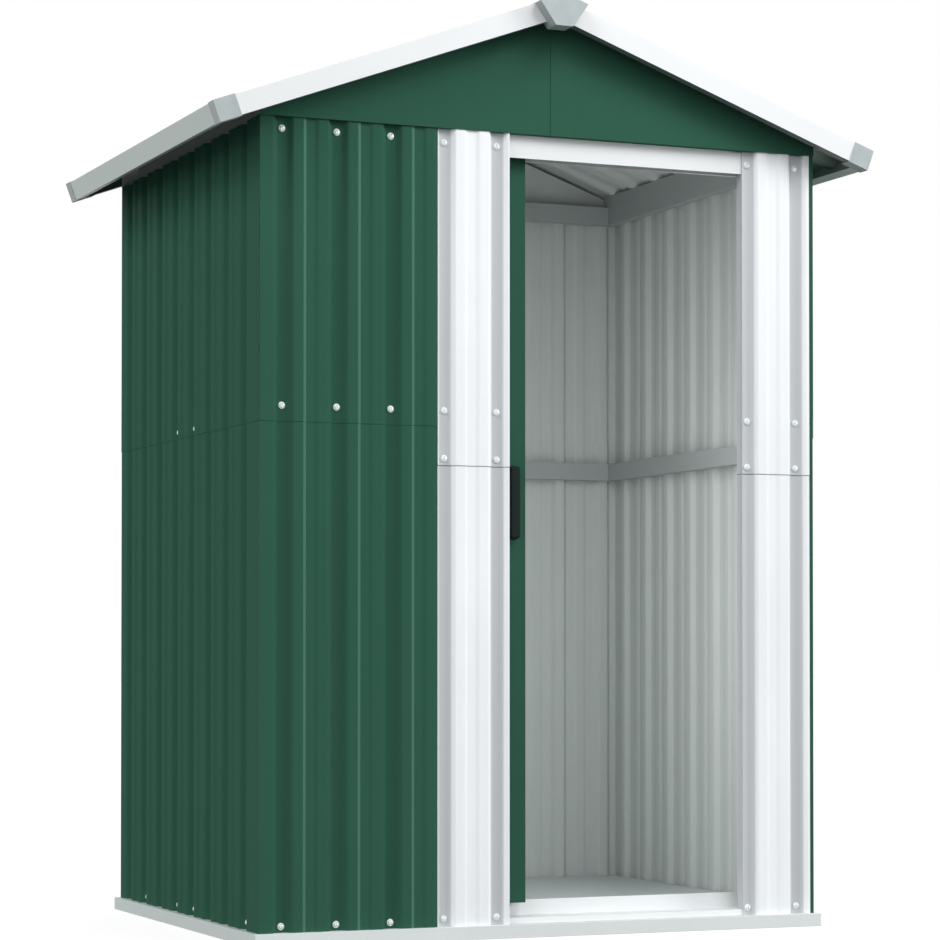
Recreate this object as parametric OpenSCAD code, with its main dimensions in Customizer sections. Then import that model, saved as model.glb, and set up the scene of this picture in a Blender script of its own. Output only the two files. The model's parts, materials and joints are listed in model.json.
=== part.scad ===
// Metal storage shed: ribbed steel sheets on a folded steel frame, with one sliding door.
// +X is right, +Y is to the back, +Z is up. The origin is at the middle of the footprint, on the ground.

/* [Walls] */
// Width over the side walls, crest to crest
wall_w = 1108; // [900:2:1500]
// Depth over the front and back walls, crest to crest
wall_d = 866; // [700:2:1400]
// Height of the wall sheets, standing on the floor rails
wall_h = 1438; // [1300:2:1900]
// Height of the lower edge of the upper wall sheets, above the floor rails
lap_z = 900; // [700:5:1100]
// Height of the lower edge of the upper jamb sheets, above the floor rails
jamb_lap_z = 830; // [650:5:1050]
// Distance that a lower sheet reaches up behind an upper one
lap_h = 42; // [10:1:60]
// Width of the side walls' return behind the front and back sheets
return_w = 12; // [8:0.5:13]

/* [Ribbed sheet] */
// Thickness of the wall, roof and door sheets
sheet_t = 0.8; // [0.5:0.1:1.2]
// Distance from valley to valley
rib_pitch = 103; // [80:1:140]
// Depth from crest to valley
rib_depth = 10; // [6:0.5:14]
// Flat width of a valley
valley_w = 20; // [12:1:30]
// Width of a sloping flank, seen square on
flank_w = 8; // [5:0.5:12]
// Width of the shallow pan rolled into each crest
pan_w = 27.5; // [18:0.5:34]
// Depth of that pan
pan_depth = 2.5; // [1:0.25:4]
// Width of the pan's sloping edges
pan_step = 5.5; // [3:0.5:8]
// Length of each rounded fold on either side of its corner
fold_l = 3; // [1:0.25:4]
// From the left corner to the middle of the first valley, on the front and the back
front_valley = 44; // [36:1:90]
// From the front corner to the middle of the first valley, on the sides
side_valley = 88; // [40:1:110]

/* [Doorway] */
// From the right corner to the doorway's right edge
right_jamb_w = 147; // [130:1:200]
// Distance that the left jamb reaches to the left of the doorway
left_jamb_w = 139; // [110:1:180]
// Overlap of the left jamb over the front panel
jamb_overlap = 20; // [10:1:40]
// Width of the side wall's return that stays in view beside the right jamb
corner_strip = 8; // [2:1:12]
// Depth of the jamb edges, folded back into the doorway, behind the valleys
jamb_return = 20; // [8:1:24]

/* [Frame] */
// Thickness of the folded rails and trims
rail_t = 1; // [0.8:0.1:1.5]
// Height of the floor rails
rail_h = 24; // [16:1:40]
// Distance that the floor rails stand out beyond the crests
rail_out = 10; // [4:1:20]
// Width of the floor rails' ground flange, inside the wall
rail_in = 12; // [8:1:30]
// Height of the side and back rails' lip behind the wall sheets
rail_lip = 14; // [8:1:24]
// Height of the mid rails
mid_rail_h = 36; // [20:1:60]
// Height of the middle rails' lower edge above the floor rails
mid_rail_z = 866; // [600:5:1000]
// Depth of the mid and top rails
inner_rail_d = 20; // [12:1:22]
// Height of the back top rail
top_rail_h = 38; // [20:1:60]
// Height of the top rails' lower edge below the top of the wall sheets
top_rail_drop = 19; // [10:1:30]

/* [Roof] */
// Roof pitch in degrees
roof_pitch = 20; // [12:0.5:28]
// Overhang of the roof beyond the side walls, measured level to the eave trim's upper edge
eave_out = 102; // [60:1:160]
// Overhang of the verge trims beyond the crests of the front and back walls
verge_out = 52; // [30:1:90]
// Height of the verge and eave trims, square to the slope
trim_h = 37.5; // [30:0.5:50]
// Width of the trims' folded edges
trim_flange = 20; // [12:1:26]
// Distance of the gable sheets in front of the crests
gable_out = 4; // [3.5:0.5:10]
// Distance of the gable seam from the middle
gable_seam = 5; // [0:1:15]
// Overlap of the two gable sheets
gable_lap = 20; // [8:1:40]
// Half width of the ridge beam's bottom
ridge_bottom = 16; // [10:1:24]
// Depth of the ridge beam below the roof sheets
ridge_depth = 42; // [24:1:46]
// Half width of the ridge beam where its sides meet the roof
ridge_top = 38; // [32:1:44]
// Width of the ridge beam's flange under each roof sheet
ridge_flange = 22; // [10:1:40]
// Half width of the ridge cover
ridge_cover_w = 70; // [50:1:120]

/* [Caps] */
// Wall thickness of the corner caps
cap_t = 1.5; // [1.5:0.25:3]
// Length of a corner cap along the slope
cap_l = 43; // [30:1:60]
// Width of a corner cap along the eave
cap_w = 29; // [24:1:50]
// Distance of the ridge end caps in front of the verge trims
ridge_cap_out = 26; // [8:1:30]
// Half width of a ridge end cap at its widest
ridge_cap_w = 47; // [44:1:60]
// Half width of a ridge end cap at its bottom
ridge_cap_bottom = 17; // [10:1:24]
// Depth of a ridge end cap below the peak of the trims' lower edge
ridge_cap_drop = 19; // [12:1:24]
// Distance that a ridge end cap reaches back under the verge trims
ridge_cap_tab = 14; // [6:1:18]

/* [Door] */
// Distance from the left wall's valleys to the open door
door_gap = 9; // [7:1:12]
// Width of the open door that stays in view beside the left jamb
door_show = 48; // [38:1:60]
// Overlap of the closed door behind the left jamb
door_lap_left = 16; // [6:1:30]
// Overlap of the closed door behind the right jamb
door_lap_right = 8; // [4:1:16]
// Clear distance from the jambs' folded edges to the door
door_clear = 6; // [5:0.5:10]
// Depth of the door's ribs
door_rib = 6; // [3:0.5:8]
// Depth of the door from crest to folded edge
door_t = 20; // [16:1:28]
// Height of the door's bottom above the floor rails
door_z = 36; // [30:1:45]
// Distance of the door's top below the top of the wall sheets
door_top_drop = 13; // [9:0.5:20]
// From the door's left edge to the middle of its first valley
door_valley = 52; // [40:1:90]
// Flat width at the door's closing edge
door_stile = 80; // [70:1:120]
// Height of the door rails
door_rail_h = 36; // [24:1:60]

/* [Door track] */
// Height of the white header over the doorway
header_h = 40; // [30:1:60]
// Distance of the header's top below the top of the wall sheets
header_drop = 2; // [1:0.5:6]
// Height of the step at the doorway, above the floor rails
sill_step = 11; // [6:1:18]
// Height of the sill's guide ridge above the floor rails
ridge_h = 39; // [37:1:46]
// Thickness of the guide ridge
guide_ridge_t = 6; // [4:0.5:10]
// Height of the lip that the hangers hook over
hook_lip = 9; // [6:0.5:12]
// Width of the groove behind that lip
hook_groove = 6; // [5:0.5:10]
// Running gap at the hangers and guides
slide_gap = 0.3; // [0.2:0.05:0.6]
// Length of a hanger or guide along the track
slide_l = 42; // [20:1:70]
// Thickness of the hangers' and guides' plates
slide_t = 4; // [3:0.25:5]

/* [Handle] */
// Width of the handle
handle_w = 18.5; // [12:0.5:30]
// Height of the handle
handle_h = 136; // [90:1:180]
// Distance of the handle's lower end above the floor rails
handle_z = 699; // [500:1:900]
// Distance from the door's closing edge to the handle
handle_edge = 18; // [12:1:30]
// Distance that the handle stands out from the door
handle_out = 20; // [16:1:22]
// Thickness of the grip
grip_t = 8; // [6:0.5:9]

/* [Hidden] */
// Clearance between pieces that lie side by side
gap = 0.2;

// Valley planes of the walls, outside, and the inner faces behind them
front_y = -(wall_d / 2 - rib_depth);
side_x = wall_w / 2 - rib_depth;
inner_y = -front_y - sheet_t;
inner_x = side_x - sheet_t;
// Outer faces of the floor rails
rail_x = wall_w / 2 + rail_out;
rail_y = wall_d / 2 + rail_out;
// Level of the wall sheets' lower and upper edges
base_z = rail_h;
top_z = base_z + wall_h;
// Upper edges of the lower sheets, above the floor rails
lap_top = lap_z + lap_h;
jamb_lap_top = jamb_lap_z + lap_h;

// Doorway: its left edge lies where the open door fits between the left wall and the doorway
door_laps = door_lap_left + door_lap_right;
doorway_right = wall_w / 2 - right_jamb_w;
doorway_left = (doorway_right - side_x + door_gap + door_laps - door_show) / 2;
// Edges of the front sheets, measured from the left corner
jamb_left = wall_w / 2 + doorway_left - left_jamb_w;
jamb_right = wall_w / 2 + doorway_right;
jamb_end = wall_w - corner_strip;

// Roof: peak of the trims' lower edge, and the roof sheets' heights above that plane
eave_gap = 4.9;
peak_z = top_z + eave_gap + tan(roof_pitch) * wall_w / 2;
crest_up = trim_h - rail_t;
valley_up = crest_up - rib_depth;
under_up = valley_up - sheet_t;
slope_l = (wall_w / 2 + eave_out - trim_h * sin(roof_pitch)) / cos(roof_pitch);
verge_y = wall_d / 2 + verge_out;
gable_y = wall_d / 2 + gable_out;
ridge_z = under_z(0) - ridge_depth;

// Door: its crest plane, valley plane and back, and its edges when open
door_y = front_y + jamb_return + door_clear;
door_valley_y = door_y + door_rib;
door_back_y = door_y + door_t;
door_w = doorway_right - doorway_left + door_laps;
door_x = -side_x + door_gap;
door_edge_x = door_x + door_w;
door_bottom = base_z + door_z;
door_top = top_z - door_top_drop;

// Sill ridge and top track, behind the door
guide_y = door_back_y + door_clear;
guide_top = base_z + ridge_h;
lip_y = door_back_y + slide_t + door_clear;
track_y = lip_y + rail_t + hook_groove + rail_t;
header_z = top_z - header_drop - header_h;
lip_z = header_z + rail_t + slide_t;
lip_top = lip_z + hook_lip;

green = [0.20, 0.35, 0.29];
white = [0.94, 0.96, 0.97];
trim_grey = [0.74, 0.78, 0.77];
grey = [0.55, 0.59, 0.58];
cap_grey = [0.73, 0.76, 0.76];
black = [0.12, 0.14, 0.14];

// Folded strips: a path and the same path set off to its left by the thickness
function left_of(a, b) = let (d = (b - a) / norm(b - a)) [-d.y, d.x];
function fold(path, i) =
    let (
        last = len(path) - 1,
        before = left_of(path[max(i - 1, 0)], path[max(i, 1)]),
        after = left_of(path[min(i, last - 1)], path[min(i + 1, last)])
    )
    (before + after) / (1 + before * after);
function below(path, d) = [for (i = [len(path) - 1 : -1 : 0]) path[i] - d * fold(path, i)];
function strip(path, t) = concat(path, below(path, -t));

// Rib profile along a wall, as points [distance from its first corner, height above the valleys].
// The ends of a wall are always crests, and a crest between two valleys has a shallow pan.
function valleys(length, first, end_crest) =
    [for (u = first; u <= length - end_crest; u = u + rib_pitch) u];
function valley_points(u) = [
    [u - valley_w / 2 - flank_w, rib_depth],
    [u - valley_w / 2, 0],
    [u + valley_w / 2, 0],
    [u + valley_w / 2 + flank_w, rib_depth]
];
function pan_points(u) = [
    [u - pan_w / 2, rib_depth],
    [u - pan_w / 2 + pan_step, rib_depth - pan_depth],
    [u + pan_w / 2 - pan_step, rib_depth - pan_depth],
    [u + pan_w / 2, rib_depth]
];
// A rounded fold: a corner becomes three points of a curve, which takes up less than half of either side
function round_fold(a, p, b) =
    let (
        reach = min(fold_l, 0.4 * norm(a - p), 0.4 * norm(b - p)),
        from = p + reach * (a - p) / norm(a - p),
        to = p + reach * (b - p) / norm(b - p)
    )
    [from, (from + 2 * p + to) / 4, to];
function round_folds(points) =
    let (last = len(points) - 1)
    concat(
        [points[0]],
        [for (i = [1 : last - 1]) each round_fold(points[i - 1], points[i], points[i + 1])],
        [points[last]]
    );
function ribs(length, first, end_crest) =
    let (v = valleys(length, first, end_crest))
    round_folds(concat(
        [[0, rib_depth]],
        [for (i = [0 : len(v) - 1])
            each concat(valley_points(v[i]), i < len(v) - 1 ? pan_points(v[i] + rib_pitch / 2) : [])],
        [[length, rib_depth]]
    ));
function cut_out(points, from, to) = concat(
    [[from, lookup(from, points)]],
    [for (p = points) if (p.x > from && p.x < to) p],
    [[to, lookup(to, points)]]
);
function sheet(points) =
    concat(points, [for (i = [len(points) - 1 : -1 : 0]) points[i] - [0, sheet_t]]);

corner_crest = return_w + fold_l + flank_w + valley_w / 2;
front_ribs = ribs(wall_w, front_valley, corner_crest);
side_ribs = ribs(wall_d, side_valley, corner_crest);

// Roof heights: the underside of the roof sheets, and the trims' lower plane raised by a distance
function plane_z(x, up) = peak_z + up / cos(roof_pitch) - tan(roof_pitch) * abs(x);
function under_z(x) = plane_z(x, under_up);
function seat_z(x) = under_z(x) - gap;

// Upper face of the ridge beam, from left to right
beam_edge = ridge_top + ridge_flange;
beam_path = [
    [-beam_edge, seat_z(beam_edge)],
    [-ridge_top, seat_z(ridge_top)],
    [-ridge_bottom, ridge_z + rail_t],
    [ridge_bottom, ridge_z + rail_t],
    [ridge_top, seat_z(ridge_top)],
    [beam_edge, seat_z(beam_edge)]
];

// Mirrors and frames
module left_side() mirror([1, 0, 0]) children();
module back_side() mirror([0, 1, 0]) children();
module right_slope() translate([0, 0, peak_z]) rotate([0, roof_pitch, 0]) children();
// A section [y, z] drawn out along X
module along_x(from, to, section)
    translate([from, 0, 0]) rotate([90, 0, 90]) linear_extrude(to - from) polygon(section);
// A section [x, z] drawn out along Y
module along_y(from, to, section)
    translate([0, to, 0]) rotate([90, 0, 0]) linear_extrude(to - from) polygon(section);

// Floor rails: a ground flange, a web, a ledge under the wall sheets and a lip behind them
module mitred_rail(path, valley, out, end) {
    reach = rail_out + rib_depth + rail_in;
    intersection() {
        along_y(-end, end, [for (p = strip(path, rail_t)) [valley + p.x, p.y]]);
        linear_extrude(base_z + rail_lip + rail_h)
            polygon([[out, -end], [out, end], [out - 2 * reach, end - 2 * reach],
                [out - 2 * reach, -end + 2 * reach]]);
    }
}
function rail_path(ledge_in) = [
    [-rail_in, 0],
    [rail_out + rib_depth, 0],
    [rail_out + rib_depth, rail_h],
    [-ledge_in, rail_h]
];
function lipped_rail_path() = concat(rail_path(sheet_t), [[-sheet_t, rail_h + rail_lip]]);

module floor_rail_right() color(trim_grey) mitred_rail(lipped_rail_path(), side_x, rail_x, rail_y);
module floor_rail_left() left_side() floor_rail_right();
module floor_rail_back()
    color(trim_grey) rotate([0, 0, 90]) mitred_rail(lipped_rail_path(), -front_y, rail_y, rail_x);
module floor_rail_front()
    color(trim_grey) rotate([0, 0, -90]) mitred_rail(rail_path(rail_in), -front_y, rail_y, rail_x);

// Sill of the doorway: a step behind the front sheets, a shelf and the door's guide ridge
module door_sill_track() {
    end = inner_x - rail_t - gap;
    step_y = front_y + sheet_t;
    color(white) along_x(-end, end, strip([
        [step_y, base_z],
        [step_y, base_z + sill_step],
        [guide_y, base_z + sill_step],
        [guide_y, guide_top],
        [guide_y + guide_ridge_t, guide_top],
        [guide_y + guide_ridge_t, rail_t]
    ], -rail_t));
}

// Floor pan: a tray with edges folded down to the rails' ground flanges
module floor_pan() {
    x = inner_x - rail_t - gap;
    front = guide_y + guide_ridge_t + gap;
    back = inner_y - rail_t - gap;
    color(grey) difference() {
        translate([-x, front, rail_t]) cube([2 * x, back - front, rail_h + rail_lip - rail_t]);
        translate([-x + rail_t, front + rail_t, 0])
            cube([2 * (x - rail_t), back - front - 2 * rail_t, rail_h + rail_lip - rail_t]);
    }
}

// Front sheets, between two distances from the left corner; layer counts sheets outward
module front_sheet(from, to, low, high, layer)
    translate([-wall_w / 2, front_y - layer * sheet_t, base_z + low])
        mirror([0, 1, 0])
            linear_extrude(high - low)
                polygon(sheet(cut_out(front_ribs, from, to)));

module front_panel_lower()
    color(green) front_sheet(0, jamb_left + jamb_overlap, 0, lap_top, 0);
module front_panel_upper()
    color(green) front_sheet(0, jamb_left + jamb_overlap, lap_z, wall_h, 1);

// Edge of a jamb, folded back into the doorway; x0 is its left face
module jamb_edge(x0, at, fold, layer) {
    y0 = front_y - lookup(at, front_ribs) - layer * sheet_t;
    translate([x0, y0, base_z + fold[0]])
        cube([sheet_t, front_y + jamb_return - y0, fold[1] - fold[0]]);
}
module left_jamb(low, high, fold, layer) {
    right = wall_w / 2 + doorway_left;
    color(white) union() {
        front_sheet(jamb_left, right, low, high, layer);
        jamb_edge(doorway_left - sheet_t, right, fold, layer);
    }
}
module right_jamb(low, high, fold, layer) {
    color(white) union() {
        front_sheet(jamb_right, jamb_end, low, high, layer);
        jamb_edge(doorway_right, jamb_right, fold, layer);
    }
}
// The folded edges end clear of the sill, the header and each other
lower_fold = [sill_step + gap, jamb_lap_top];
upper_fold = [jamb_lap_top + gap, wall_h - header_drop - header_h - gap];
module left_jamb_lower() left_jamb(0, jamb_lap_top, lower_fold, 2);
module left_jamb_upper() left_jamb(jamb_lap_z, wall_h, upper_fold, 3);
module right_jamb_lower() right_jamb(0, jamb_lap_top, lower_fold, 0);
module right_jamb_upper() right_jamb(jamb_lap_z, wall_h, upper_fold, 1);

// Back sheets
module back_sheet(low, high, layer)
    translate([-wall_w / 2, -front_y + layer * sheet_t, base_z + low])
        linear_extrude(high - low)
            polygon(sheet(cut_out(front_ribs, 0, wall_w)));
module back_wall_lower() color(green) back_sheet(0, lap_top, 0);
module back_wall_upper() color(green) back_sheet(lap_z, wall_h, 1);

// Side sheets, with a return at each end that lies behind the front and back sheets
module left_sheet(low, fold_low, high, layer) {
    end = sheet_t * (1 - layer);
    translate([-side_x - layer * sheet_t, -wall_d / 2, base_z])
        rotate([0, 0, 90]) {
            translate([0, 0, low])
                linear_extrude(high - low)
                    polygon(sheet(cut_out(side_ribs, end, wall_d - end)));
            for (u = [end, wall_d - end - sheet_t])
                translate([u, rib_depth - return_w, fold_low])
                    cube([sheet_t, return_w, high - fold_low]);
        }
}
module left_wall_lower() color(green) left_sheet(0, 0, lap_top, 0);
module left_wall_upper() color(green) left_sheet(lap_z, lap_top + gap, wall_h, 1);
module right_wall_lower() left_side() left_wall_lower();
module right_wall_upper() left_side() left_wall_upper();

// Gables: each end has two sheets that lap at the seam, with a flange on top of the wall sheets.
// Their upper edge follows the roof sheets.
module gable(from, to, flange_from, flange_to, layer) {
    y0 = -gable_y - layer * sheet_t;
    side = wall_w / 2;
    intersection() {
        along_y(y0, y0 + sheet_t, [
            [-side, top_z],
            [side, top_z],
            [side, seat_z(side)],
            [0, seat_z(0)],
            [-side, seat_z(side)]
        ]);
        translate([from, y0 - sheet_t, top_z - sheet_t])
            cube([to - from, 3 * sheet_t, peak_z - top_z + trim_h]);
    }
    translate([flange_from, y0, top_z])
        cube([flange_to - flange_from, front_y + sheet_t - y0, sheet_t]);
}
module gable_left()
    gable(-wall_w / 2, gable_seam + gable_lap, -wall_w / 2, gable_seam + gable_lap, 0);
module gable_right()
    gable(gable_seam, wall_w / 2, gable_seam + gable_lap + gap, wall_w / 2, 1);
module gable_front_left() color(green) gable_left();
module gable_front_right() color(green) gable_right();
module gable_back_left() back_side() gable_front_left();
module gable_back_right() back_side() gable_front_right();

// Top track: the white header is its front web, and its back edge turns up as the hangers' lip
module door_track_top() {
    end = inner_x - rail_t - gap;
    face_y = front_y + sheet_t;
    head_z = header_z + header_h;
    color(white) along_x(-end, end, strip([
        [face_y, header_z],
        [face_y, head_z],
        [track_y, head_z],
        [track_y, lip_z],
        [lip_y, lip_z],
        [lip_y, lip_top]
    ], -rail_t));
}

// Channels on the inside of the walls, open towards the wall. x is measured inward from the wall.
function channel_path(low, high_wall, high_face) = [
    [0, low],
    [inner_rail_d, low],
    [inner_rail_d, high_face],
    [0, high_wall]
];
module left_channel(path, front)
    along_y(front, inner_y, [for (p = strip(path, rail_t)) [p.x - inner_x, p.y]]);
module back_channel(path) {
    end = inner_x - inner_rail_d - gap;
    along_x(-end, end, [for (p = strip(path, rail_t)) [inner_y - p.x, p.y]]);
}
inner_low = top_z - top_rail_drop;
module top_rail_left()
    color(grey) left_channel(
        channel_path(inner_low, seat_z(inner_x), seat_z(inner_x - inner_rail_d)),
        track_y + gap
    );
module top_rail_right() left_side() top_rail_left();
module top_rail_back()
    color(grey) back_channel(channel_path(inner_low, inner_low + top_rail_h, inner_low + top_rail_h));

mid_low = base_z + mid_rail_z;
mid_path = channel_path(mid_low, mid_low + mid_rail_h, mid_low + mid_rail_h);
module mid_rail_left() color(grey) left_channel(mid_path, track_y + door_clear);
module mid_rail_right() left_side() mid_rail_left();
module mid_rail_back() color(grey) back_channel(mid_path);

// Ridge beam: a folded trough between the gables, whose flanges carry the roof sheets
module ridge_beam() {
    length = gable_y - sheet_t - gap;
    color(grey) along_y(-length, length, strip(beam_path, -rail_t));
}

// Roof sheets, in the right slope's own frame: x down the slope from the peak, z square to it
module right_roof_sheet() {
    length = 2 * (verge_y - rail_t - gap);
    start = (rail_t - under_up * sin(roof_pitch)) / cos(roof_pitch);
    points = ribs(length, front_valley, corner_crest);
    right_slope()
        along_x(start, slope_l - rail_t - gap,
            [for (p = sheet(points)) [p.x - length / 2, p.y + valley_up]]);
}
module roof_panel_right() color(green) right_roof_sheet();
module roof_panel_left() left_side() roof_panel_right();

module ridge_cover() {
    length = verge_y - trim_flange - cap_t;
    up = crest_up + gap;
    color(white) along_y(-length, length, strip([
        [-ridge_cover_w, plane_z(ridge_cover_w, up)],
        [0, plane_z(0, up)],
        [ridge_cover_w, plane_z(ridge_cover_w, up)]
    ], rail_t));
}

// Trims: channels that close over the edges of the roof sheets
module right_verge_trim() {
    intersection() {
        right_slope() along_x(-trim_h, slope_l, strip([
            [-verge_y + trim_flange, 0],
            [-verge_y, 0],
            [-verge_y, trim_h],
            [-verge_y + trim_flange, trim_h]
        ], -rail_t));
        translate([gap, -2 * verge_y, 0]) cube([2 * slope_l, 2 * verge_y, 2 * peak_z]);
    }
}
module verge_trim_front_right() color(white) right_verge_trim();
module verge_trim_front_left() left_side() verge_trim_front_right();
module verge_trim_back_right() back_side() verge_trim_front_right();
module verge_trim_back_left() left_side() verge_trim_back_right();

module eave_trim_right() {
    length = verge_y - trim_flange - gap;
    color(trim_grey) right_slope() along_y(-length, length, strip([
        [slope_l - trim_flange, 0],
        [slope_l, 0],
        [slope_l, trim_h],
        [slope_l - trim_flange, trim_h]
    ], rail_t));
}
module eave_trim_left() left_side() eave_trim_right();

// Corner caps: shells that slip over the ends of a verge trim and an eave trim
module corner_cap() {
    right_slope()
        difference() {
            translate([slope_l + cap_t - cap_l, -verge_y - cap_t, -cap_t])
                cube([cap_l, cap_w, trim_h + 2 * cap_t]);
            translate([slope_l - cap_l, -verge_y, 0])
                cube([cap_l, cap_w, trim_h]);
        }
}
module roof_corner_caps() {
    color(cap_grey) {
        corner_cap();
        left_side() corner_cap();
        back_side() corner_cap();
        left_side() back_side() corner_cap();
    }
}

// Ridge end caps: a keystone in front of the meeting verge trims, with a hood over their upper edge
// and a tab back under their lower edge
module ridge_cap() {
    drop_z = peak_z - ridge_cap_drop;
    hood_up = trim_h + gap;
    front = -verge_y - ridge_cap_out;
    shoulder = [ridge_cap_w, plane_z(ridge_cap_w, hood_up)];
    top = [ridge_cap_w, plane_z(ridge_cap_w, hood_up + cap_t)];
    roof_line = [top, [0, plane_z(0, hood_up + cap_t)], [-top.x, top.y]];
    keystone = concat(
        [[-shoulder.x, shoulder.y], [-ridge_cap_bottom, drop_z], [ridge_cap_bottom, drop_z], shoulder],
        roof_line
    );
    along_y(front, -verge_y - gap, keystone);
    along_y(front, -verge_y + trim_flange, concat(
        [[-shoulder.x, shoulder.y], [0, plane_z(0, hood_up)], shoulder],
        roof_line
    ));
    intersection() {
        along_y(front, -verge_y + ridge_cap_tab, keystone);
        along_y(2 * front, 0, [
            [-slope_l, plane_z(slope_l, -gap)],
            [0, drop_z - slope_l],
            [slope_l, plane_z(slope_l, -gap)],
            [0, plane_z(0, -gap)]
        ]);
    }
}
module ridge_end_caps() {
    color(cap_grey) {
        ridge_cap();
        back_side() ridge_cap();
    }
}

// Door sheet: ribbed, with both side edges folded back
module door_panel() {
    points = [
        for (p = ribs(door_w, door_valley, door_stile)) [p.x, p.y * door_rib / rib_depth]
    ];
    color(green) union() {
        translate([door_x, door_valley_y, door_bottom])
            mirror([0, 1, 0])
                linear_extrude(door_top - door_bottom)
                    polygon(sheet(points));
        for (x = [door_x, door_edge_x - sheet_t])
            translate([x, door_y, door_bottom])
                cube([sheet_t, door_t, door_top - door_bottom]);
    }
}

// Door rails: channels across the door's back, at its top and bottom
module door_rail(low)
    along_x(door_x + sheet_t, door_edge_x - sheet_t, strip([
        [door_valley_y + sheet_t, low],
        [door_back_y, low],
        [door_back_y, low + door_rail_h],
        [door_valley_y + sheet_t, low + door_rail_h]
    ], rail_t));
module door_rails() {
    color(grey) {
        door_rail(door_bottom);
        door_rail(door_top - door_rail_h);
    }
}

// Handle: a grip on two posts, which leave room for the fingers
module door_handle() {
    post = grip_t * 2;
    left = door_edge_x - handle_edge - handle_w;
    front = door_y - handle_out;
    color(black) along_x(left, left + handle_w, [
        [door_y, base_z + handle_z],
        [door_y, base_z + handle_z + post],
        [front + grip_t, base_z + handle_z + post + grip_t],
        [front + grip_t, base_z + handle_z + handle_h - post - grip_t],
        [door_y, base_z + handle_z + handle_h - post],
        [door_y, base_z + handle_z + handle_h],
        [front, base_z + handle_z + handle_h - grip_t / 2],
        [front, base_z + handle_z + grip_t / 2]
    ]);
}

// Hangers hook over the track's lip, and guides straddle the sill's ridge
module at_door_ends(section)
    for (x = [door_x + slide_l / 2, door_edge_x - slide_l * 3 / 2])
        along_x(x, x + slide_l, section);
module door_hangers() {
    hook_front = lip_y + rail_t + slide_gap;
    hook_back = track_y - rail_t - slide_gap;
    arm_z = lip_top + slide_gap;
    section = [
        [door_back_y, door_top - door_rail_h],
        [door_back_y + slide_t, door_top - door_rail_h],
        [door_back_y + slide_t, arm_z],
        [hook_front, arm_z],
        [hook_front, lip_z + rail_t + slide_gap],
        [hook_back, lip_z + rail_t + slide_gap],
        [hook_back, arm_z + slide_t],
        [door_back_y, arm_z + slide_t]
    ];
    color(black) at_door_ends(section);
}
module door_guides() {
    low = base_z + sill_step + door_clear;
    bridge_z = guide_top + slide_gap;
    section = [
        [door_back_y, door_bottom],
        [door_back_y + slide_t, low + slide_t],
        [door_back_y + slide_t, low],
        [guide_y - slide_gap, low],
        [guide_y - slide_gap, bridge_z],
        [guide_y + guide_ridge_t + slide_gap, bridge_z],
        [guide_y + guide_ridge_t + slide_gap, low + slide_t],
        [guide_y + guide_ridge_t + slide_gap + slide_t, low + slide_t],
        [guide_y + guide_ridge_t + slide_gap + slide_t, bridge_z + slide_t],
        [door_back_y, bridge_z + slide_t]
    ];
    color(black) at_door_ends(section);
}

floor_rail_front();
floor_rail_back();
floor_rail_left();
floor_rail_right();
door_sill_track();
floor_pan();
front_panel_lower();
front_panel_upper();
left_jamb_lower();
left_jamb_upper();
right_jamb_lower();
right_jamb_upper();
left_wall_lower();
left_wall_upper();
right_wall_lower();
right_wall_upper();
back_wall_lower();
back_wall_upper();
gable_front_left();
gable_front_right();
gable_back_left();
gable_back_right();
door_track_top();
top_rail_left();
top_rail_right();
top_rail_back();
mid_rail_left();
mid_rail_right();
mid_rail_back();
ridge_beam();
roof_panel_left();
roof_panel_right();
ridge_cover();
verge_trim_front_left();
verge_trim_front_right();
verge_trim_back_left();
verge_trim_back_right();
eave_trim_left();
eave_trim_right();
roof_corner_caps();
ridge_end_caps();
door_panel();
door_rails();
door_handle();
door_hangers();
door_guides();
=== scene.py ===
"""Metal storage shed: paint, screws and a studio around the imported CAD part. Metres, +Z up."""

import json
import math

import bmesh
import bpy
from mathutils import Matrix, Vector

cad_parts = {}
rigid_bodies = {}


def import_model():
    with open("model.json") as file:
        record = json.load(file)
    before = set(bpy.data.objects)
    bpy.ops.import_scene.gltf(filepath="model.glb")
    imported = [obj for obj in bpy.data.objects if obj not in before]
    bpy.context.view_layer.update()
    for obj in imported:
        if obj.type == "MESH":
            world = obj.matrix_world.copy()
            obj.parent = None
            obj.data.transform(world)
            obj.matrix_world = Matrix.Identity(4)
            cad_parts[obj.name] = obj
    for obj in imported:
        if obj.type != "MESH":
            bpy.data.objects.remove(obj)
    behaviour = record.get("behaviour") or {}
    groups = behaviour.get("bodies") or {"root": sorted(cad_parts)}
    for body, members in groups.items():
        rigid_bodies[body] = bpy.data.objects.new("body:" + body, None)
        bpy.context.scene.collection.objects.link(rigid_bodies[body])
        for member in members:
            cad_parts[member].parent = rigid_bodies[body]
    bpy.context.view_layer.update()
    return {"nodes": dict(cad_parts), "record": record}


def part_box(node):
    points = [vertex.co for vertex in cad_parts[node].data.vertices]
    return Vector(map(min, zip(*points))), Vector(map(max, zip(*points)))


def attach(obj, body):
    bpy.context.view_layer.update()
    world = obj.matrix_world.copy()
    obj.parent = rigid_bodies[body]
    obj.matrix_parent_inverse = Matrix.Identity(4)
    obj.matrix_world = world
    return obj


for leftover in list(bpy.data.objects):
    bpy.data.objects.remove(leftover)
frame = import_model()
scene = bpy.context.scene

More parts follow.
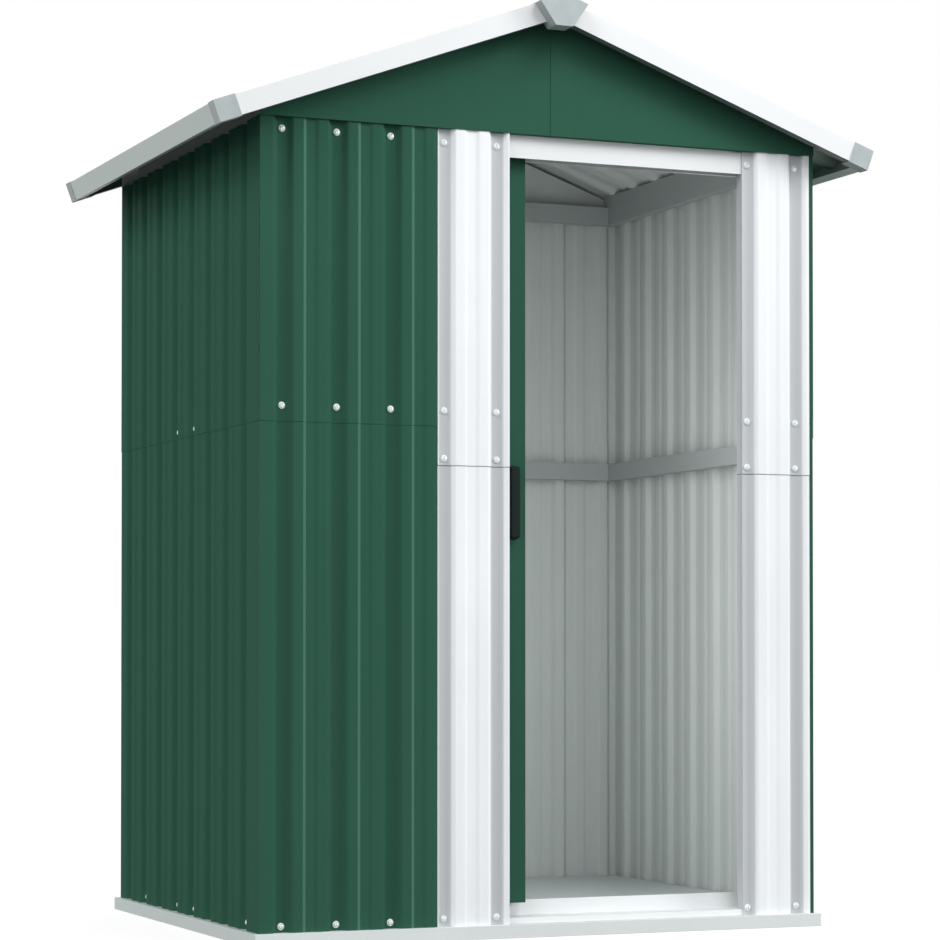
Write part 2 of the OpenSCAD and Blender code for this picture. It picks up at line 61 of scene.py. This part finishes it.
# Places that the CAD model fixes. The valleys are those of the lower sheets, on their outer face.
RAIL_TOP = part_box("floor_rail_front")[1].z
JAMB_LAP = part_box("left_jamb_upper")[0].z
SHEET = 0.0008
FRONT_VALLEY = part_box("front_panel_upper")[1].y
BACK_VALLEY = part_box("back_wall_upper")[0].y
RIB_DEPTH = FRONT_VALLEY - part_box("front_panel_lower")[0].y
SIDE_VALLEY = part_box("right_wall_lower")[1].x - RIB_DEPTH
# Roof: its pitch, the peak of the planes that it is drawn from, and its valleys' height above them
ROOF_PITCH = math.radians(20)
ROOF_PEAK = 1.6685
ROOF_VALLEY = 0.0265

# Camera: nearly level, from the front left and half a metre up. Angles in degrees, lens and sensor in mm.
CAMERA_AT = Vector((-2.2058, -5.3028, 0.5037))
CAMERA_TURN = -22.855
CAMERA_TILT = 1.14
CAMERA_LENS = 112.16
CAMERA_SENSOR = 36
CAMERA_SHIFT = 0.1398
CAMERA_REACH = 200

lens = bpy.data.cameras.new("camera")
lens.sensor_width = CAMERA_SENSOR
lens.lens = CAMERA_LENS
lens.shift_y = CAMERA_SHIFT
lens.clip_end = CAMERA_REACH
camera = bpy.data.objects.new("camera", lens)
camera.location = CAMERA_AT
camera.rotation_euler = (math.radians(90 + CAMERA_TILT), 0, math.radians(CAMERA_TURN))
scene.collection.objects.link(camera)
scene.camera = camera
scene.view_settings.view_transform = "Standard"

# Sockets of a Mix node that is set to mix colours
MIX_FACTOR = 0
MIX_A = 6
MIX_B = 7
MIX_RESULT = 2


class Tree:
    """A node tree with short ways to add and link nodes."""

    def __init__(self, tree):
        self.tree = tree
        tree.nodes.clear()

    def add(self, kind, settings=None, **inputs):
        node = self.tree.nodes.new(kind)
        for name, value in (settings or {}).items():
            setattr(node, name, value)
        for name, value in inputs.items():
            self.set(node.inputs[name.replace("_", " ")], value)
        return node

    def set(self, socket, value):
        if isinstance(value, bpy.types.NodeSocket):
            self.tree.links.new(value, socket)
        else:
            socket.default_value = value

    def object_coords(self):
        return self.add("ShaderNodeTexCoord").outputs["Object"]

    def part(self, vector, axis):
        return self.add("ShaderNodeSeparateXYZ", Vector=vector).outputs[axis]

    def stretched(self, coords, scale):
        return self.add("ShaderNodeMapping", Vector=coords, Scale=scale).outputs["Vector"]

    def noise(self, coords, scale=1.0, detail=2.0, roughness=0.5):
        node = self.add("ShaderNodeTexNoise", Vector=coords, Scale=scale, Detail=detail)
        node.inputs["Roughness"].default_value = roughness
        return node.outputs["Fac"]

    def ranged(self, value, low, high, to_low=0.0, to_high=1.0):
        node = self.add("ShaderNodeMapRange")
        names = ("Value", "From Min", "From Max", "To Min", "To Max")
        for name, given in zip(names, (value, low, high, to_low, to_high)):
            self.set(node.inputs[name], given)
        return node.outputs["Result"]

    def math(self, operation, a, b=0.0):
        node = self.add("ShaderNodeMath", {"operation": operation})
        self.set(node.inputs[0], a)
        self.set(node.inputs[1], b)
        return node.outputs["Value"]

    def mix(self, factor, a, b):
        node = self.add("ShaderNodeMix", {"data_type": "RGBA"})
        self.set(node.inputs[MIX_FACTOR], factor)
        self.set(node.inputs[MIX_A], a)
        self.set(node.inputs[MIX_B], b)
        return node.outputs[MIX_RESULT]

    def bump(self, height, distance, strength, normal=None):
        node = self.add("ShaderNodeBump", Height=height, Distance=distance, Strength=strength)
        if normal is not None:
            self.set(node.inputs["Normal"], normal)
        return node.outputs["Normal"]

    def facing(self, direction):
        """How far a face's true normal points along a direction."""
        node = self.add("ShaderNodeVectorMath", {"operation": "DOT_PRODUCT"})
        self.set(node.inputs[0], self.add("ShaderNodeNewGeometry").outputs["True Normal"])
        self.set(node.inputs[1], direction)
        return node.outputs["Value"]


def shade(color, factor=1.0):
    return (color[0] * factor, color[1] * factor, color[2] * factor, 1.0)


def new_material(name):
    material = bpy.data.materials.new(name)
    material.use_nodes = True
    return material, Tree(material.node_tree)


def finish_material(tree, color, roughness, normal, specular, metallic=0.0):
    shader = tree.add("ShaderNodeBsdfPrincipled", Base_Color=color, Roughness=roughness, Normal=normal)
    shader.inputs["Specular IOR Level"].default_value = specular
    shader.inputs["Metallic"].default_value = metallic
    tree.add("ShaderNodeOutputMaterial", Surface=shader.outputs["BSDF"])


# Colours, linear
GREEN = (0.031, 0.100, 0.067)
# Painted highlight for the front sheets' right-facing steps
HIGHLIGHT_GREEN = (0.068, 0.166, 0.118)
WHITE = (0.85, 0.875, 0.895)
TRIM = (0.785, 0.805, 0.81)
INNER = (0.62, 0.66, 0.645)
RAIL = (0.58, 0.64, 0.62)
# Painted light: the front floor rail gets a paler copy of the rails' grey
LIT_FRONT_RAIL = (0.70, 0.745, 0.735)
STEEL = (0.41, 0.44, 0.435)
FLOOR_PAN = (0.60, 0.63, 0.64)
# Painted shade for the verge trims' undersides
VERGE_UNDERSIDE_SHADE = (0.14, 0.18, 0.165)
CAP = (0.42, 0.465, 0.468)
BLACK = (0.014, 0.022, 0.021)
WASHER_GREY = (0.78, 0.87, 0.84)
ZINC = (0.76, 0.80, 0.79)

# How far paint strays from its colour, outside and inside, and from its roughness
TONE = 0.03
INNER_TONE = 0.025
GLOSS = 0.07
# Painted highlight: the steps whose normals point this far to the side, within a tolerance, are painted
# paler green
STEP_FACING = 0.41
STEP_TOLERANCE = 0.1
# The side sheets' returns face along Y, and count as outside where they face away from the middle
RETURN_SIDE = (0.0, 0.4, 0.0)
INWARD = -0.1
# Painted shade in the white sheets' valleys: its reach and its full depth from the valley outwards, how
# uneven it is, and how dark
VALLEY_SHADE_REACH = 0.006
VALLEY_SHADE_FULL = 3 * SHEET
VALLEY_SHADE_UNEVEN = 0.002
VALLEY_SHADE_DARKNESS = 0.66
# Painted shadow under the edge where a lower sheet goes in behind an upper one: its height, how well it
# covers, how dark it is
LAP_SHADOW_HEIGHT = 0.0022
LAP_SHADOW_COVER = 0.85
LAP_SHADOW_DARKNESS = 0.12


# Painted highlight: paler green on the steps that face the given way
def painted_highlight_steps(tree, surface, direction):
    off = tree.math("ABSOLUTE", tree.math("SUBTRACT", tree.facing(direction), STEP_FACING))
    return tree.mix(tree.math("LESS_THAN", off, STEP_TOLERANCE), surface, shade(HIGHLIGHT_GREEN))


def inner_coat(tree, surface, coords, tone, color, outward):
    away = tree.add("ShaderNodeVectorMath", {"operation": "MULTIPLY_ADD"})
    for socket, value in zip(away.inputs, (coords, RETURN_SIDE, outward)):
        tree.set(socket, value)
    is_inside = tree.math("LESS_THAN", tree.facing(away.outputs["Vector"]), INWARD)
    coat = tree.mix(tone, shade(color, 1 - INNER_TONE), shade(color, 1 + INNER_TONE))
    return tree.mix(is_inside, surface, coat)


# Painted shade: the white sheets' valleys are painted darker, where shade falls between the ribs
def painted_valley_shade(tree, surface, coords, mottle, color):
    depth = tree.math("ADD", tree.part(coords, "Y"), tree.math("MULTIPLY", mottle, VALLEY_SHADE_UNEVEN))
    valley_shade_mask = tree.ranged(depth, FRONT_VALLEY - VALLEY_SHADE_REACH, FRONT_VALLEY - VALLEY_SHADE_FULL)
    return tree.mix(valley_shade_mask, surface, shade(color, VALLEY_SHADE_DARKNESS))


# Painted shadow: a dark band on the lower sheet just under the upper sheet's edge
def painted_lap_shadow(tree, surface, coords, lap, color):
    height = tree.part(coords, "Z")
    nearness = tree.ranged(height, lap - LAP_SHADOW_HEIGHT, lap - LAP_SHADOW_HEIGHT / 3, 0.0, LAP_SHADOW_COVER)
    below = tree.math("LESS_THAN", height, lap)
    return tree.mix(tree.math("MULTIPLY", nearness, below), surface, shade(color, LAP_SHADOW_DARKNESS))


# Paint: faint mottling, rolling streaks along the sheet, orange peel and a slight waviness of thin sheet;
# where asked, an inner coat, a painted highlight on steps, painted shade in valleys and a painted shadow
# under a lap
def paint(name, color, roughness, specular, wave=0.0012, streaks=0.45, inside=None, outward=None,
          highlight_facing=None, shaded_valleys=False, lap=None):
    material, tree = new_material(name)
    coords = tree.object_coords()
    mottle = tree.noise(coords, scale=3.0, detail=4.0, roughness=0.55)
    streak = tree.noise(tree.stretched(coords, (110.0, 110.0, 1.6)))
    peel = tree.noise(coords, scale=620.0, detail=1.0)
    mixed = tree.math("ADD", mottle, tree.math("MULTIPLY", streak, streaks))
    tone = tree.ranged(mixed, 0.3 + streaks / 2, 0.7 + streaks / 2)
    surface = tree.mix(tone, shade(color, 1 - TONE), shade(color, 1 + TONE))
    if highlight_facing is not None:
        surface = painted_highlight_steps(tree, surface, highlight_facing)
    if inside is not None:
        surface = inner_coat(tree, surface, coords, tone, inside, outward)
    if shaded_valleys:
        surface = painted_valley_shade(tree, surface, coords, mottle, color)
    if lap is not None:
        surface = painted_lap_shadow(tree, surface, coords, lap, color)
    texture = tree.math("ADD", mottle, tree.math("MULTIPLY", peel, 0.6))
    rough = tree.ranged(texture, 0.5, 1.1, roughness - GLOSS, roughness + GLOSS)
    swell = tree.noise(tree.stretched(coords, (7.0, 7.0, 2.5)), detail=1.0)
    waves = tree.bump(swell, distance=wave, strength=0.35)
    normal = tree.bump(peel, distance=0.00012, strength=0.3, normal=waves)
    finish_material(tree, surface, rough, normal, specular)
    return material


# Moulded plastic: a fine spark-eroded grain, slightly worn smooth in patches
def plastic(name, color, roughness, specular):
    material, tree = new_material(name)
    coords = tree.object_coords()
    grain = tree.noise(coords, scale=1500.0)
    patch = tree.noise(coords, scale=26.0, detail=3.0)
    surface = tree.mix(tree.ranged(patch, 0.35, 0.65), shade(color, 0.94), shade(color, 1.06))
    rough = tree.ranged(patch, 0.3, 0.7, roughness - 0.08, roughness + 0.08)
    normal = tree.bump(grain, distance=0.00008, strength=0.5)
    finish_material(tree, surface, rough, normal, specular)
    return material


# Zinc-plated steel of the screws: cloudy crystals and fine scratches
def zinc(name, color, roughness):
    material, tree = new_material(name)
    coords = tree.object_coords()
    cloud = tree.noise(coords, scale=420.0, detail=3.0)
    scratch = tree.noise(tree.stretched(coords, (2600.0, 400.0, 2600.0)))
    surface = tree.mix(tree.ranged(cloud, 0.35, 0.65), shade(color, 0.88), shade(color, 1.05))
    rough = tree.ranged(scratch, 0.3, 0.7, roughness - 0.08, roughness + 0.1)
    normal = tree.bump(scratch, distance=0.00003, strength=0.4)
    finish_material(tree, surface, rough, normal, specular=0.5, metallic=1.0)
    return material


OUTWARD = {
    "front": (0, -1, 0),
    "back": (0, 1, 0),
    "left": (-1, 0, 0),
    "right": (1, 0, 0),
    "top": (0, 0, 1),
}
# Only the front gets the painted highlight, on the steps that look to the right
HIGHLIGHT_WAY = {"front": OUTWARD["right"]}
# Folded rails and trims are less wavy than the sheets and show no rolling streaks
FOLDED = {"wave": 0.0006, "streaks": 0.0}

green = {
    side: paint("green_paint_" + side, GREEN, roughness=0.5, specular=0.004, inside=INNER,
                outward=direction, highlight_facing=HIGHLIGHT_WAY.get(side))
    for side, direction in OUTWARD.items()
}
white_paint = paint("white_paint", WHITE, roughness=0.42, specular=0.06, shaded_valleys=True)
# The lower jamb sheets carry the painted shadow under the upper sheets' edge
lap_shadow_paint = paint("white_paint_lap_shadow", WHITE, roughness=0.42, specular=0.06, shaded_valleys=True, lap=JAMB_LAP)
trim_paint = paint("white_trim_paint", TRIM, roughness=0.40, specular=0.04, **FOLDED)
# Painted shade: the verge trims' faces that look down are painted dark, as the shade under the overhang
verge_shaded_paint = paint("white_verge_paint_shaded_underside", TRIM, roughness=0.40, specular=0.04, inside=VERGE_UNDERSIDE_SHADE,
                    outward=OUTWARD["top"], **FOLDED)
rail_paint = paint("light_grey_paint", RAIL, roughness=0.45, specular=0.08, **FOLDED)
# Painted light: the front floor rail is painted paler than the other rails, as if more light fell on it
lit_front_rail_paint = paint("rail_paint_painted_lit", LIT_FRONT_RAIL, roughness=0.45, specular=0.08, **FOLDED)
floor_paint = paint("grey_floor_paint", FLOOR_PAN, roughness=0.5, specular=0.08, **FOLDED)
grey_paint = paint("grey_frame_paint", STEEL, roughness=0.5, specular=0.08, **FOLDED)
cap_plastic = plastic("grey_cap_plastic", CAP, roughness=0.5, specular=0.05)
black_plastic = plastic("black_plastic", BLACK, roughness=0.45, specular=0.05)
washer_plastic = plastic("pale_washer_plastic", WASHER_GREY, roughness=0.4, specular=0.2)
screw_zinc = zinc("screw_zinc", ZINC, roughness=0.34)

BY_SLOT = {
    "white_sheet": white_paint,
    "white_trim": trim_paint,
    "grey_trim": rail_paint,
    "grey_steel": grey_paint,
    "grey_plastic": cap_plastic,
    "black_plastic": black_plastic,
}
GREEN_SIDE = {
    "front_panel": "front",
    "gable_front": "front",
    "door_panel": "front",
    "back_wall": "back",
    "gable_back": "back",
    "left_wall": "left",
    "right_wall": "right",
    "roof_panel": "top",
}


def material_of(node, slot):
    if node.endswith("jamb_lower"):
        return lap_shadow_paint
    if node.startswith("verge_trim"):
        return verge_shaded_paint
    if node == "floor_pan":
        return floor_paint
    if node == "floor_rail_front":
        return lit_front_rail_paint
    for start, side in GREEN_SIDE.items():
        if node.startswith(start):
            return green[side]
    return BY_SLOT[slot]


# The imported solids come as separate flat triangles. A modifier joins them again, so that folds of up
# to this angle shade as curves and the edges beyond it stay sharp. Angles in degrees.
SOFT_FOLD = 34
FLAT = 0.5
WELD = 0.00001


def joined_folds():
    group = bpy.data.node_groups.new("joined_folds", "GeometryNodeTree")
    for way in ("INPUT", "OUTPUT"):
        group.interface.new_socket("Geometry", in_out=way, socket_type="NodeSocketGeometry")
    tree = Tree(group)
    start = tree.add("NodeGroupInput").outputs["Geometry"]
    weld = tree.add("GeometryNodeMergeByDistance", Geometry=start, Distance=WELD)
    clear = tree.add("GeometryNodeRemoveAttribute", Geometry=weld.outputs["Geometry"], Name="custom_normal")
    faces = tree.add("GeometryNodeSetShadeSmooth", {"domain": "FACE"}, Geometry=clear.outputs["Geometry"])
    faces.inputs["Shade Smooth"].default_value = True
    angle = tree.add("GeometryNodeInputMeshEdgeAngle").outputs["Unsigned Angle"]
    sharp = tree.math("GREATER_THAN", angle, math.radians(SOFT_FOLD))
    edges = tree.add("GeometryNodeSetShadeSmooth", {"domain": "EDGE"}, Geometry=faces.outputs["Geometry"],
                     Selection=sharp)
    edges.inputs["Shade Smooth"].default_value = False
    tree.add("NodeGroupOutput", Geometry=edges.outputs["Geometry"])
    return group


FOLDS = joined_folds()
# Rounding of the edges of folded rails and trims, and of moulded pieces: its width and steps
FOLDED_EDGE = (0.0004, 2)
RUNNER_EDGE = (0.0005, 2)
ROUNDING = {
    "floor_rail": FOLDED_EDGE,
    "door_sill": FOLDED_EDGE,
    "door_track": FOLDED_EDGE,
    "verge_trim": FOLDED_EDGE,
    "eave_trim": FOLDED_EDGE,
    "ridge_cover": FOLDED_EDGE,
    "roof_corner": (0.0006, 3),
    "ridge_end": (0.0015, 3),
    "door_handle": (0.0024, 4),
    "door_hangers": RUNNER_EDGE,
    "door_guides": RUNNER_EDGE,
}


def dress(node, slot):
    obj = frame["nodes"][node]
    obj.material_slots[0].material = material_of(node, slot)
    weld = obj.modifiers.new("joined_folds", "NODES")
    weld.node_group = FOLDS
    for start, (width, segments) in ROUNDING.items():
        if node.startswith(start):
            flat = obj.modifiers.new("joined_faces", "DECIMATE")
            flat.decimate_type = "DISSOLVE"
            flat.angle_limit = math.radians(FLAT)
            bevel = obj.modifiers.new("rounded_edges", "BEVEL")
            bevel.width = width
            bevel.segments = segments
            bevel.limit_method = "ANGLE"
            bevel.angle_limit = math.radians(SOFT_FOLD)
    normals = obj.modifiers.new("flat_faces_first", "WEIGHTED_NORMAL")
    normals.keep_sharp = True


for part in frame["record"]["subparts"]:
    dress(part["node"], part["material_slot"])


# Screws: a domed washer with a cross-head screw, standing on the sheet along +Z, as radii and heights
WASHER = [(0.0063, -0.0004), (0.0066, 0.0004), (0.0064, 0.0011), (0.0055, 0.0019), (0.0043, 0.0022)]
HEAD = [(0.0041, 0.0022), (0.0040, 0.0030), (0.0034, 0.0037), (0.0024, 0.0040)]
TURNS = 20
# The cross: the length and half width of its arms, at its mouth and on its floor, and its depth
CROSS_ARM = 0.0018
CROSS_HALF = 0.0005
CROSS_FLOOR_ARM = 0.7 * CROSS_ARM
CROSS_FLOOR_HALF = 0.8 * CROSS_HALF
CROSS_DEPTH = 0.0012
# Material slots of a screw's faces
ON_WASHER = 0
ON_HEAD = 1
# Each screw of a piece is turned further than the one before it, in radians
SCREW_TURN = 0.7


def ring(bm, radius, height, steps):
    angles = [2 * math.pi * i / steps for i in range(steps)]
    return [bm.verts.new((radius * math.cos(a), radius * math.sin(a), height)) for a in angles]


def band(bm, low, high, slot, smooth=True):
    count = len(low)
    for i in range(count):
        j = (i + 1) % count
        face = bm.faces.new((low[i], low[j], high[j], high[i]))
        face.material_index = slot
        face.smooth = smooth


def cross(bm, arm, half, height):
    quarter = [(arm, half), (half, half), (half, arm)]
    points = []
    for turn in range(4):
        spin = Matrix.Rotation(turn * math.pi / 2, 2)
        points += [spin @ Vector(p) for p in quarter]
    return [bm.verts.new((p.x, p.y, height)) for p in points]


def screw_mesh():
    bm = bmesh.new()
    rings = [ring(bm, r, h, TURNS) for r, h in WASHER + HEAD]
    bm.faces.new(list(reversed(rings[0])))
    for i in range(len(rings) - 1):
        band(bm, rings[i], rings[i + 1], ON_WASHER if i < len(WASHER) else ON_HEAD)
    top = HEAD[-1][1]
    mouth = cross(bm, CROSS_ARM, CROSS_HALF, top)
    floor = cross(bm, CROSS_FLOOR_ARM, CROSS_FLOOR_HALF, top - CROSS_DEPTH)
    count = len(mouth)
    rim = [bm.edges.new((mouth[i], mouth[(i + 1) % count])) for i in range(count)]
    edge = [bm.edges.get((rings[-1][i], rings[-1][(i + 1) % TURNS])) for i in range(TURNS)]
    filled = bmesh.ops.triangle_fill(bm, use_beauty=True, edges=rim + edge, normal=(0, 0, 1))
    for item in filled["geom"]:
        if isinstance(item, bmesh.types.BMFace):
            item.material_index = ON_HEAD
    band(bm, floor, mouth, ON_HEAD, smooth=False)
    bottom = bm.faces.new(floor)
    bottom.material_index = ON_HEAD
    bmesh.ops.recalc_face_normals(bm, faces=bm.faces)
    mesh = bpy.data.meshes.new("screw")
    bm.to_mesh(mesh)
    bm.free()
    return mesh


SCREW = screw_mesh()


def scatter(name, template, places, materials, body):
    """One piece made of copies of a mesh, each at a point and turned to a direction."""
    bm = bmesh.new()
    for k, (point, direction) in enumerate(places):
        copy = template.copy()
        turn = Matrix.Rotation(SCREW_TURN * k, 4, "Z")
        aim = Vector((0, 0, 1)).rotation_difference(Vector(direction)).to_matrix().to_4x4()
        copy.transform(Matrix.Translation(point) @ aim @ turn)
        bm.from_mesh(copy)
        bpy.data.meshes.remove(copy)
    mesh = bpy.data.meshes.new(name)
    bm.to_mesh(mesh)
    bm.free()
    for material in materials:
        mesh.materials.append(material)
    obj = bpy.data.objects.new(name, mesh)
    scene.collection.objects.link(obj)
    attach(obj, body)


# Columns of screws are counted in valleys, from the left on the front and the back, and from the front
# on the sides and the roof
PITCH = 0.103
FIRST_FRONT = -0.510
FIRST_SIDE = -0.345
FIRST_ROOF = -0.4398
# The side screws sit towards the back of their valleys
SIDE_OFFSET = 0.0033
# Distance of the roof screws from the peak, down the slope to the top rails
ROOF_SCREW_ROW = 0.5576
# Heights of the rows above the floor rails: under the roof, through the laps and at the foot
TOP_ROW = 1.418
JAMB_TOP_ROW = 1.413
PANEL_LAP_ROW = 0.928
WALL_LAP_ROW = 0.914
JAMB_LAP_ROW = 0.842
PANEL_FOOT_ROW = 0.011
JAMB_FOOT_ROW = 0.014
WALL_FOOT_ROW = 0.0125


# A screw's place and direction. The layer counts the sheets that lie over the innermost one there.
def front_screw(column, height, layer):
    x = FIRST_FRONT + PITCH * column
    return Vector((x, FRONT_VALLEY - layer * SHEET, RAIL_TOP + height)), Vector(OUTWARD["front"])


def back_screw(column, height, layer):
    x = FIRST_FRONT + PITCH * column
    return Vector((x, BACK_VALLEY + layer * SHEET, RAIL_TOP + height)), Vector(OUTWARD["back"])


def side_screw(side, column, height, layer):
    y = FIRST_SIDE + PITCH * column + SIDE_OFFSET
    x = side * (SIDE_VALLEY + layer * SHEET)
    return Vector((x, y, RAIL_TOP + height)), Vector((side, 0, 0))


def roof_screw(side, column):
    y = FIRST_ROOF + PITCH * column
    x = ROOF_SCREW_ROW * math.cos(ROOF_PITCH) + ROOF_VALLEY * math.sin(ROOF_PITCH)
    z = ROOF_PEAK - ROOF_SCREW_ROW * math.sin(ROOF_PITCH) + ROOF_VALLEY * math.cos(ROOF_PITCH)
    return Vector((side * x, y, z)), Vector((side * math.sin(ROOF_PITCH), 0, math.cos(ROOF_PITCH)))


# Columns of the front panel, the left jamb and the right jamb, each with its rows and their layers
FRONT_ROWS = [
    ((0, 1, 2), [(TOP_ROW, 1), (PANEL_LAP_ROW, 1), (PANEL_FOOT_ROW, 0)]),
    ((3, 4), [(JAMB_TOP_ROW, 3), (PANEL_LAP_ROW, 3), (JAMB_LAP_ROW, 3), (JAMB_FOOT_ROW, 2)]),
    ((9, 10), [(JAMB_TOP_ROW, 1), (PANEL_LAP_ROW, 1), (JAMB_LAP_ROW, 1), (JAMB_FOOT_ROW, 0)]),
]
BACK_COLUMNS = (0, 3, 5, 7, 10)
BACK_ROWS = [(TOP_ROW, 1), (WALL_LAP_ROW, 1), (WALL_FOOT_ROW, 0)]
SIDE_FOOT_COLUMNS = (0, 3, 4, 6)
SIDE_LAP_COLUMNS = (3, 4)
ROOF_COLUMNS = (0, 2, 4, 6, 8)
LEFT = -1
RIGHT = 1


def side_places(side):
    foot = [side_screw(side, column, WALL_FOOT_ROW, 0) for column in SIDE_FOOT_COLUMNS]
    lap = [side_screw(side, column, WALL_LAP_ROW, 1) for column in SIDE_LAP_COLUMNS]
    return foot + lap


front_places = [
    front_screw(column, *row)
    for columns, rows in FRONT_ROWS
    for column in columns
    for row in rows
]
back_places = [back_screw(column, *row) for column in BACK_COLUMNS for row in BACK_ROWS]
roof_places = [roof_screw(side, column) for side in (LEFT, RIGHT) for column in ROOF_COLUMNS]

SCREW_LOOK = (washer_plastic, screw_zinc)
scatter("front_screws", SCREW, front_places, SCREW_LOOK, "shed")
scatter("left_side_screws", SCREW, side_places(LEFT), SCREW_LOOK, "shed")
scatter("right_side_screws", SCREW, side_places(RIGHT), SCREW_LOOK, "shed")
scatter("back_screws", SCREW, back_places, SCREW_LOOK, "shed")
scatter("roof_screws", SCREW, roof_places, SCREW_LOOK, "shed")


# Light: a soft key above the front, weak lamps from the other sides, and a pale sky
def sun(name, towards, strength, softness):
    lamp = bpy.data.lights.new(name, "SUN")
    lamp.energy = strength
    lamp.angle = math.radians(softness)
    obj = bpy.data.objects.new(name, lamp)
    obj.rotation_euler = towards.to_track_quat("Z", "Y").to_euler()
    scene.collection.objects.link(obj)


def softbox(name, at, aim, width, height, power):
    lamp = bpy.data.lights.new(name, "AREA")
    lamp.shape = "RECTANGLE"
    lamp.size = width
    lamp.size_y = height
    lamp.energy = power
    obj = bpy.data.objects.new(name, lamp)
    obj.location = at
    obj.rotation_euler = (-aim).to_track_quat("Z", "Y").to_euler()
    obj.visible_camera = False
    obj.visible_glossy = False
    scene.collection.objects.link(obj)


# Places and aims of the two softboxes, and directions towards the suns
KEY_AT = Vector((0.8, -2.4, 3.3))
KEY_AIM = Vector((0.0, -0.4, 0.9)) - KEY_AT
SIDE_FROM = Vector((0.875, -0.408, 0.259))
FILL_FROM = Vector((-0.689, -0.336, 0.643))
BACK_FROM = Vector((0.41, 0.71, 0.57))
DOORWAY_AT = Vector((0.17, -0.30, 0.80))
DOORWAY_AIM = Vector((0.5, 0.87, 0))

softbox("key", KEY_AT, KEY_AIM, width=1.4, height=1.4, power=35.5)
sun("side", SIDE_FROM, strength=1.4, softness=18.0)
sun("fill", FILL_FROM, strength=1.15, softness=30.0)
sun("back", BACK_FROM, strength=0.9, softness=30.0)
# Light that the doorway lets in, as a soft panel just behind the door's path
softbox("doorway_light", DOORWAY_AT, DOORWAY_AIM, width=0.36, height=1.15, power=1.85)


def seen_directly(tree):
    path = tree.add("ShaderNodeLightPath")
    mirror = tree.math("MAXIMUM", path.outputs["Is Glossy Ray"], path.outputs["Is Transmission Ray"])
    return tree.math("MAXIMUM", path.outputs["Is Camera Ray"], mirror)


# Sky: pale near the horizon and darker above, and plain white where it is seen
SKY_TOP = (0.10, 0.10, 0.11, 1.0)
SKY_EDGE = (1.34, 1.36, 1.38, 1.0)
PURE_WHITE = (1.0, 1.0, 1.0, 1.0)

world = bpy.data.worlds.new("studio")
world.use_nodes = True
scene.world = world
sky = Tree(world.node_tree)
upness = sky.part(sky.add("ShaderNodeTexCoord").outputs["Generated"], "Z")
glow = sky.mix(sky.ranged(upness, 0.0, 1.0), SKY_EDGE, SKY_TOP)
backdrop = sky.mix(seen_directly(sky), glow, PURE_WHITE)
background = sky.add("ShaderNodeBackground", Color=backdrop)
sky.add("ShaderNodeOutputWorld", Surface=background.outputs["Background"])

# Floor: matt, with a glow of its own where it is seen, so that it is white around the shed's soft shadow
FLOOR_REACH = 60.0
FLOOR_LEVEL = -0.0005
FLOOR_COLOR = (0.22, 0.22, 0.22, 1.0)
FLOOR_GLOW = 0.85

floor_mesh = bpy.data.meshes.new("floor")
corners = [(-1, -1), (1, -1), (1, 1), (-1, 1)]
floor_points = [(FLOOR_REACH * x, FLOOR_REACH * y, FLOOR_LEVEL) for x, y in corners]
floor_mesh.from_pydata(floor_points, [], [(0, 1, 2, 3)])
floor = bpy.data.objects.new("floor", floor_mesh)
scene.collection.objects.link(floor)
floor_material, floor_tree = new_material("floor")
matt = floor_tree.add("ShaderNodeBsdfDiffuse", Color=FLOOR_COLOR)
floor_glow = floor_tree.math("MULTIPLY", seen_directly(floor_tree), FLOOR_GLOW)
lit = floor_tree.add("ShaderNodeEmission", Strength=floor_glow)
both = floor_tree.add("ShaderNodeAddShader")
floor_tree.set(both.inputs[0], matt.outputs["BSDF"])
floor_tree.set(both.inputs[1], lit.outputs["Emission"])
floor_tree.add("ShaderNodeOutputMaterial", Surface=both.outputs["Shader"])
floor_mesh.materials.append(floor_material)
